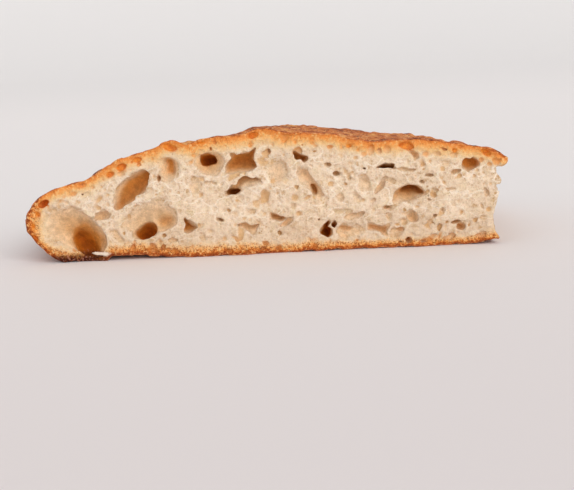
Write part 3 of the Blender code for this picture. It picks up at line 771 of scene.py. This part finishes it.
def largest_part(vertices, quads):
    """The surface without closed bubbles and loose crumbs: its largest connected part."""
    label = np.arange(len(vertices))
    while True:
        lowest = label[quads].min(1)
        before = label.copy()
        np.minimum.at(label, quads, lowest[:, None])
        label = label[label]
        if np.array_equal(label, before):
            break
    kept = label == np.argmax(np.bincount(label))
    number = np.cumsum(kept) - 1
    return vertices[kept], number[quads[kept[quads[:, 0]]]]


def new_mesh(name, vertices, faces):
    mesh = bpy.data.meshes.new(name)
    mesh.from_pydata(vertices, [], faces)
    mesh.validate()
    return mesh


def sample(grid, axes, points):
    """Values of a gridded field at points, by linear interpolation."""
    total = 0.0
    places, shares = [], []
    for n, axis in enumerate(axes):
        place = np.clip(np.searchsorted(axis, points[:, n]) - 1, 0, len(axis) - 2)
        places.append(place)
        shares.append((points[:, n] - axis[place]) / (axis[place + 1] - axis[place]))
    for corner in np.ndindex(*(2,) * len(axes)):
        weight = np.prod([s if c else 1 - s for c, s in zip(corner, shares)], axis=0)
        total = total + weight * grid[tuple(p + c for c, p in zip(corner, places))]
    return total


def mark(mesh, loaf):
    """What the material reads at each vertex."""
    points = np.array([vertex.co for vertex in mesh.vertices]) / MM
    x, y, z = points.T

    def at_points(grid):
        return sample(grid, loaf.axes[:grid.ndim], points)

    under_top, over_base, in_rim, cut, flake = (
        at_points(grid) for grid in (loaf.under_top, loaf.over_base, loaf.in_rim, loaf.cut, loaf.flake)
    )
    at_lip = smooth((x - LIP_FROM) / LIP_FADE)
    top_browned = TOP_BROWNED + CREST_THICKER * np.exp(-(((x - CREST_AT) / CREST_SPREAD) ** 2))
    top_browned -= NOSE_THINNER * smooth((NOSE_FROM - x) / NOSE_FADE) + LIP_THINNER * at_lip
    below_top = under_top / top_browned - LIP_DARKER * at_lip
    above_base = over_base / (BASE_BROWNED - BASE_THINNER * smooth((x - BASE_THINS_FROM) / BASE_THINS_OVER))
    in_browned_rim = in_rim / RIM_BROWNED
    low = smooth(0.5 + np.minimum(below_top, in_browned_rim) - above_base)
    heel = np.exp(-(((x - HEEL_AT) / HEEL_SPREAD) ** 4) - ((y - FRONT_Y) / HEEL_REACH) ** 2)
    toast = at_points(loaf.toast)
    values = {
        "crust_depth": np.clip(np.minimum(np.minimum(under_top, over_base), in_rim), 0, 20),
        "baked": np.clip(np.minimum(np.minimum(below_top, above_base), in_browned_rim), 0, 3),
        "cut_depth": np.clip(cut, 0, 30),
        # where the small cells are, for painted shade on their walls
        "cell": smooth(1.2 - np.abs(at_points(loaf.cells)) / 0.4),
        "rim_bubble": smooth(1.2 - np.abs(at_points(loaf.rim_bubbles)) / 0.7),
        # where the cuts meet the bubbles, for a painted highlight on their rims
        "edge": smooth(1.3 - (np.abs(cut) + np.abs(at_points(loaf.opened()))) / 0.7),
        "toast": toast + (TOAST_OF_BASE - toast) * low,
        "low": low,
        "at_rim": smooth(1.6 - in_rim / 9),
        "rough": np.maximum(low, smooth(1.6 - in_rim / 5)),
        "burnt": heel * smooth(1.9 - z / 2),
        "floury": smooth(1.4 - flake / 0.3),
    }
    for name, value in values.items():
        mesh.attributes.new(name, "FLOAT", "POINT").data.foreach_set("value", value.astype(np.float32))


def new_object(name, data):
    made = bpy.data.objects.new(name, data)
    bpy.context.scene.collection.objects.link(made)
    return made


def make_bread(loaf):
    vertices, quads = largest_part(*zero_surface(loaf.solid(), loaf.axes))
    coarse = new_object("coarse", new_mesh("coarse", vertices * MM, quads))
    fewer = coarse.modifiers.new("fewer", "DECIMATE")
    fewer.ratio = min(1.0, MOST_TRIANGLES / (2 * len(quads)))
    graph = bpy.context.evaluated_depsgraph_get()
    mesh = bpy.data.meshes.new_from_object(coarse.evaluated_get(graph))
    bpy.data.objects.remove(coarse)
    mesh.name = "focaccia_bread"
    mesh.validate()
    mesh.shade_smooth()
    mark(mesh, loaf)
    return new_object("focaccia_bread", mesh)


class Shader:
    """A short way to write a material's nodes."""

    def __init__(self, name):
        self.material = bpy.data.materials.new(name)
        self.material.use_nodes = True
        self.nodes = self.material.node_tree.nodes
        self.links = self.material.node_tree.links
        self.surface = self.nodes["Principled BSDF"]
        self.place = self.add("TexCoord").outputs["Object"]
        self.height = self.add("SeparateXYZ", {"Vector": self.place}).outputs["Z"]

    def add(self, kind, inputs=(), **settings):
        node = self.nodes.new("ShaderNode" + kind)
        for name, value in settings.items():
            setattr(node, name, value)
        for name, value in dict(inputs).items():
            self.put(value, node.inputs[name])
        return node

    def put(self, value, socket):
        if isinstance(value, bpy.types.NodeSocket):
            self.links.new(value, socket)
        else:
            socket.default_value = value

    def look(self, inputs):
        for name, value in inputs.items():
            self.put(value, self.surface.inputs[name])

    def attributes(self, *names):
        return [self.add("Attribute", attribute_name=name).outputs["Fac"] for name in names]

    def noise(self, scale, detail=2.0, roughness=0.5, stretch=(1.0, 1.0, 1.0)):
        """Noise with this many features in a millimetre."""
        place = self.add("Mapping", {"Vector": self.place, "Scale": stretch}).outputs["Vector"]
        inputs = {"Vector": place, "Scale": scale / MM, "Detail": detail, "Roughness": roughness}
        return self.add("TexNoise", inputs).outputs["Fac"]

    def pores(self, scale):
        """Round pores of mixed sizes, this many in a millimetre: 1 inside them and 0 between them."""
        node = self.add("TexVoronoi", {"Vector": self.place, "Scale": scale / MM})
        size = self.add("SeparateColor", {"Color": node.outputs["Color"]}).outputs["Red"]
        reach = self.span(size, 0.1, 1.0, 0.2, 0.5)
        return self.span(self.math("SUBTRACT", node.outputs["Distance"], reach), 0.02, -0.12)

    def math(self, operation, first, second=0.0, third=0.0):
        node = self.add("Math", {0: first, 1: second, 2: third}, operation=operation)
        return node.outputs[0]

    def times(self, first, second):
        return self.math("MULTIPLY", first, second)

    def scaled(self, value, factor, added=0.0):
        return self.math("MULTIPLY_ADD", value, factor, added)

    def span(self, value, low, high, to_low=0.0, to_high=1.0):
        inputs = {"Value": value, "From Min": low, "From Max": high, "To Min": to_low, "To Max": to_high}
        return self.add("MapRange", inputs, interpolation_type="SMOOTHSTEP").outputs["Result"]

    def mix(self, share, first, second, blend="MIX"):
        node = self.add("Mix", data_type="RGBA", blend_type=blend)
        self.put(share, node.inputs[0])
        self.put(first, node.inputs[6])
        self.put(second, node.inputs[7])
        return node.outputs[2]

    def shaded(self, colour, value):
        grey = self.add("CombineColor", {"Red": value, "Green": value, "Blue": value}).outputs[0]
        return self.mix(1, colour, grey, "MULTIPLY")

    def ramp(self, value, stops):
        """A ramp through stops of (position, red, green, blue), the colours as seen on screen."""
        node = self.add("ValToRGB", {"Fac": value})
        elements = node.color_ramp.elements
        while len(elements) < len(stops):
            elements.new(0.5)
        for element, (position, *colour) in zip(elements, stops):
            element.position = position
            element.color = rgb(*colour)
        return node.outputs["Color"]


def rgb(red, green, blue):
    """A colour as seen on screen, 0 to 255, as the shader's linear value."""
    shares = (value / 255 for value in (red, green, blue))
    return (*(s / 12.92 if s < 0.04 else ((s + 0.055) / 1.055) ** 2.4 for s in shares), 1.0)


# Round pores in the crumb's material. Each row has how many are in a millimetre, how strong their tint is,
# the tint, which is painted shade inside the pores, and how far they dent the surface.
PORES = (
    (0.34, 0.85, (214, 180, 136), -0.5), (0.62, 1, (198, 156, 108), -0.45),
    (1.15, 0.95, (192, 150, 104), -0.3),
)


def crumb_colour(s, pores):
    """Pale walls, with painted shade in the pores and towards the base. Deep in the large bubbles painted
    shade darkens the walls, orange near the crust: partly its browning, partly a painted glow.
    """
    pale = s.ramp(s.noise(0.16, 3, 0.6), (
        (0.3, 214, 185, 152), (0.5, 227, 202, 173), (0.7, 238, 219, 197),
    ))
    foamy = s.span(s.noise(0.09), 0.35, 0.65, 0.45, 1)
    # painted shade: each pore's tint darkens and warms the crumb inside it
    for pore, (_, strength, tint, _) in zip(pores, PORES):
        pale = s.mix(s.times(s.times(pore, strength), foamy), pale, rgb(*tint))
    golden = s.span(s.noise(0.22), 0.5, 0.7, 0, 0.45)
    pale = s.mix(golden, pale, rgb(226, 202, 152))
    # pale films between the bubbles
    film = s.math("ABSOLUTE", s.math("SUBTRACT", s.noise(0.13, 1.5, 0.4, stretch=(1, 1, 1.6)), 0.5))
    pale = s.mix(s.span(film, 0.03, 0.008, 0, 0.8), pale, rgb(248, 234, 216))
    grain = s.ramp(s.noise(1.7, 1, 0.6), (
        (0.3, 231.1, 223.3, 213.7), (0.47, 248.2, 245.8, 242.2), (0.6, 255, 255, 255),
    ))
    pale = s.mix(1, pale, grain, "MULTIPLY")
    # painted shade: the crumb darker towards the base
    pale = s.mix(s.span(s.height, 17 * MM, 6 * MM), pale, rgb(233.6, 223.9, 212.2), "MULTIPLY")
    cut_depth, crust_depth = s.attributes("cut_depth", "crust_depth")
    # painted shade: far down in the large bubbles the walls darken with depth behind the cut; near the crust
    # they turn orange, partly its browning and partly a painted glow of light through the crumb
    down = s.times(cut_depth, 0.1)
    depth_shade = s.ramp(down, (
        (0, 232, 206, 176), (0.14, 228, 199, 166), (0.28, 216, 176, 132),
        (0.42, 190, 130, 72), (0.58, 154, 88, 36), (0.78, 112, 54, 18), (1, 76, 32, 11),
    ))
    depth_shade_near_crust = s.ramp(down, (
        (0, 233, 205, 172), (0.14, 230, 194, 154), (0.28, 223, 178, 130),
        (0.4, 208, 138, 66), (0.56, 186, 104, 26), (0.78, 148, 68, 11), (1, 90, 34, 8),
    ))
    inside = s.mix(s.span(crust_depth, 13, 5.5), depth_shade, depth_shade_near_crust)
    mottled = s.span(s.noise(0.5, 4, 0.7), 0.34, 0.66, 0.82, 1.12)
    inside = s.shaded(inside, mottled)
    return s.mix(s.span(cut_depth, 0.4, 1.6), pale, inside)


def browned_edge(s):
    """The browned edge of the cut: how deep each place counts as, and its colour."""
    baked, low, rough, at_rim = s.attributes("baked", "low", "rough", "at_rim")
    grainy = s.math("SUBTRACT", s.noise(0.9, 3, 0.7), 0.5)
    depth = s.times(baked, s.scaled(s.noise(0.13), -0.9, 1.5))
    depth = s.scaled(grainy, s.scaled(rough, 0.45, 0.55), depth)
    depth = s.scaled(rough, -0.13, depth)
    upper = s.ramp(depth, (
        (0, 186, 96, 44), (0.08, 229, 137, 66), (0.26, 242, 158, 82),
        (0.46, 246, 180, 108), (0.7, 243, 198, 142), (1, 239, 210, 170),
    ))
    lower = s.ramp(depth, (
        (0, 146, 66, 24), (0.14, 200, 106, 42), (0.34, 234, 154, 78),
        (0.54, 239, 178, 112), (0.78, 238, 195, 146), (1, 236, 204, 164),
    ))
    colour = s.mix(low, upper, lower)
    rind = s.times(at_rim, s.span(depth, 0.17, -0.12, 0, 0.85))
    colour = s.mix(rind, colour, rgb(122, 48, 22))
    outer = s.span(depth, 0.75, 0.35)
    dark = s.times(s.span(s.noise(1, 2, 0.6), 0.44, 0.35, 0, 0.8), outer)
    dark = s.times(dark, s.scaled(rough, 0.5, 0.5))
    colour = s.mix(dark, colour, s.mix(rough, rgb(204, 104, 38), rgb(146, 62, 22)))
    fine = s.noise(2.1, 2, 0.6)
    speckled = s.times(rough, s.span(depth, 1.1, 0.6))
    pits = s.times(speckled, s.span(fine, 0.47, 0.39, 0, 0.8))
    colour = s.mix(pits, colour, rgb(150, 66, 24))
    crumbs = s.times(speckled, s.span(fine, 0.55, 0.62, 0, 0.55))
    crumbs = s.times(crumbs, s.span(depth, 0.15, 0.5, 0.2, 1))
    colour = s.mix(crumbs, colour, rgb(250, 206, 144))
    light = s.span(s.noise(0.9, 3, 0.65), 0.55, 0.66, 0, 0.6)
    return depth, s.mix(light, colour, rgb(252, 208, 142))


def bread_material():
    s = Shader("bread")
    crust_depth, cut_depth, toast, burnt = s.attributes("crust_depth", "cut_depth", "toast", "burnt")
    low, cell, rim_bubble, edge_highlight_mask, floury = s.attributes("low", "cell", "rim_bubble", "edge", "floury")
    depth, edge = browned_edge(s)
    in_crumb = s.math("MAXIMUM", s.span(depth, 0.75, 1.45), s.span(cut_depth, 0.8, 2.4))
    pores = [s.pores(scale) for scale, *_ in PORES]
    inner = s.mix(in_crumb, edge, crumb_colour(s, pores))
    # painted shade on the walls of the small cells, and a painted highlight on the pale edges between bubbles
    cell_shade_share = s.times(cell, s.span(cut_depth, 0.1, 0.7, 0, 0.7))
    cell_shade_share = s.times(cell_shade_share, s.span(cut_depth, 2.4, 1.4))
    cell_wall = s.mix(low, rgb(236, 158, 82), rgb(206, 126, 58))
    inner = s.mix(cell_shade_share, inner, s.mix(in_crumb, cell_wall, rgb(216, 172, 120)))
    in_rim_bubble = s.times(rim_bubble, s.span(cut_depth, 0, 0.8, 0.1, 0.85))
    amber_skin = s.ramp(s.noise(0.6, 3, 0.6), ((0.35, 214, 108, 26), (0.6, 238, 146, 48)))
    inner = s.mix(in_rim_bubble, inner, amber_skin)
    # painted highlight: the rims of the bubbles paler
    edge_highlight = s.times(edge_highlight_mask, s.times(in_crumb, 0.55))
    inner = s.mix(edge_highlight, inner, rgb(243, 222, 198))
    # skin of the crust
    mottle = s.scaled(s.noise(0.45, 4, 0.75, stretch=(1, 0.6, 1)), 1.9, -0.95)
    tone = s.math("ADD", toast, mottle)
    skin = s.ramp(tone, (
        (0, 242, 204, 142), (0.2, 236, 178, 110), (0.38, 225, 150, 86),
        (0.56, 208, 120, 66), (0.76, 176, 92, 52), (1, 112, 56, 34),
    ))
    specks = s.span(s.noise(0.8, 3, 0.65, stretch=(0.8, 0.7, 4)), 0.55, 0.63, 0, 0.75)
    specks = s.times(specks, s.span(cut_depth, 12, 28, 1, 0.55))
    skin = s.mix(specks, skin, rgb(240, 182, 126))
    outside = s.span(crust_depth, 0.45, 0.2)
    colour = s.mix(outside, inner, skin)
    # fine grain, the dark heel and its flake
    grain = s.span(s.noise(2.4, 2, 0.7), 0.3, 0.7, 0.93, 1.07)
    colour = s.shaded(colour, grain)
    charred = s.times(burnt, s.span(s.noise(0.7, 3, 0.7), 0.45, 0.66, 1, 0.7))
    colour = s.mix(charred, colour, rgb(72, 26, 13))
    ash = s.times(burnt, s.span(s.noise(1, 2, 0.6), 0.58, 0.66, 0, 0.6))
    colour = s.mix(ash, colour, rgb(206, 150, 126))
    colour = s.mix(floury, colour, rgb(240, 222, 204))
    # fine pores, fewer on the smooth walls of the large bubbles
    on_crust = s.math("MAXIMUM", outside, s.math("SUBTRACT", 1, in_crumb))
    height = s.times(s.noise(1.8, 3, 0.65), s.scaled(on_crust, 0.6, 0.4))
    height = s.scaled(s.noise(0.5), 0.8, height)
    for pore, (*_, dent) in zip(pores, PORES):
        height = s.scaled(pore, dent, height)
    strength = s.math("MAXIMUM", s.span(cut_depth, 0.6, 2.2, 0.6, 0.4), s.times(on_crust, 0.9))
    bump = s.add("Bump", {"Height": height, "Strength": strength, "Distance": 0.45 * MM})
    s.look({
        "Base Color": colour, "Normal": bump.outputs["Normal"],
        "Roughness": s.scaled(outside, -0.08, 0.82), "Specular IOR Level": 0.12,
        "Subsurface Weight": 0.08, "Subsurface Radius": (1, 0.55, 0.3), "Subsurface Scale": 1 * MM,
    })
    return s.material


# The camera looks at the front cut from a little above, and leans with the piece as it lay
LENS, SENSOR = 70.0, 36.0
PITCH, ROLL = math.radians(11.0), math.radians(2.6)
DISTANCE = 402.0
LOOKED_AT = Vector((6.84, FRONT_Y, 3.03))


def make_camera():
    camera = bpy.data.cameras.new("camera")
    camera.lens, camera.sensor_width = LENS, SENSOR
    camera.clip_start, camera.clip_end = 0.01, 20.0
    seen = new_object("camera", camera)
    lean = Matrix.Rotation(ROLL, 4, "Y")
    back = Vector((0, -DISTANCE * math.cos(PITCH), DISTANCE * math.sin(PITCH)))
    turn = Matrix.Rotation(math.pi / 2 - PITCH, 4, "X")
    seen.matrix_world = Matrix.Translation(LOOKED_AT * MM) @ lean @ Matrix.Translation(back * MM) @ turn
    bpy.context.scene.camera = seen


def make_stage():
    """A pale floor that curves up into a backdrop."""
    reach, half_width, bend, height, steps = 3.6, 5.0, 2.2, 3.2, 24
    profile = [(-reach, 0.0)]
    for step in range(steps + 1):
        turn = math.pi / 2 * step / steps
        profile.append((reach - bend + bend * math.sin(turn), bend - bend * math.cos(turn)))
    profile.append((reach, height))
    vertices = [(side * half_width, y, z) for side in (-1, 1) for y, z in profile]
    count = len(profile)
    faces = [(n, n + 1, count + n + 1, count + n) for n in range(count - 1)]
    mesh = new_mesh("floor", vertices, faces)
    mesh.shade_smooth()
    paper = Shader("pale_paper")
    # painted shade: the paper darker on the floor in front and up the backdrop, lighter beneath the bread
    away = paper.add("SeparateXYZ", {"Vector": paper.place}).outputs["Y"]
    tint = paper.ramp(paper.span(away, -0.5, 2.0), (
        (0.03, 232, 225, 225), (0.14, 240, 236, 236), (0.45, 240, 236, 236),
        (1.0, 230, 228, 228),
    ))
    paper.look({"Base Color": tint, "Roughness": 0.9})
    mesh.materials.append(paper.material)
    new_object("floor", mesh)


def make_lights():
    """An even pale studio, with broad soft light from the upper right in front."""
    world = bpy.data.worlds.new("studio")
    world.use_nodes = True
    sky = world.node_tree.nodes["Background"].inputs
    sky["Color"].default_value = (1.0, 0.985, 0.975, 1.0)
    sky["Strength"].default_value = 0.45
    bpy.context.scene.world = world
    # name, towards where it is, strength, spread in degrees and colour
    lights = (
        ("key", (0.5, -0.8, 0.48), 1.65, 50.0, (1.0, 0.985, 0.965)),
        ("fill", (-0.7, -0.75, 0.35), 0.45, 90.0, (1.0, 0.985, 0.975)),
        ("top", (-0.1, 0.3, 1.0), 0.34, 60.0, (1.0, 0.985, 0.975)),
    )
    for name, towards, strength, spread, colour in lights:
        light = bpy.data.lights.new(name, "SUN")
        light.energy, light.angle, light.color = strength, math.radians(spread), colour
        lamp = new_object(name, light)
        lamp.rotation_euler = Vector(towards).to_track_quat("Z", "Y").to_euler()


def main():
    bpy.context.scene.view_settings.view_transform = "Standard"
    loaf = Loaf()
    carve_bubbles(loaf)
    carve_cells(loaf, FRONT_CELLS, FRONT, CELL_SEED)
    carve_cells(loaf, END_CELLS, RIGHT, CELL_SEED + 1)
    loaf.cells = np.minimum(loaf.cells, loaf.placed)
    bread = make_bread(loaf)
    bread.data.materials.append(bread_material())
    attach(bread, "root")
    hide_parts(NODE)
    make_camera()
    make_stage()
    make_lights()


main()
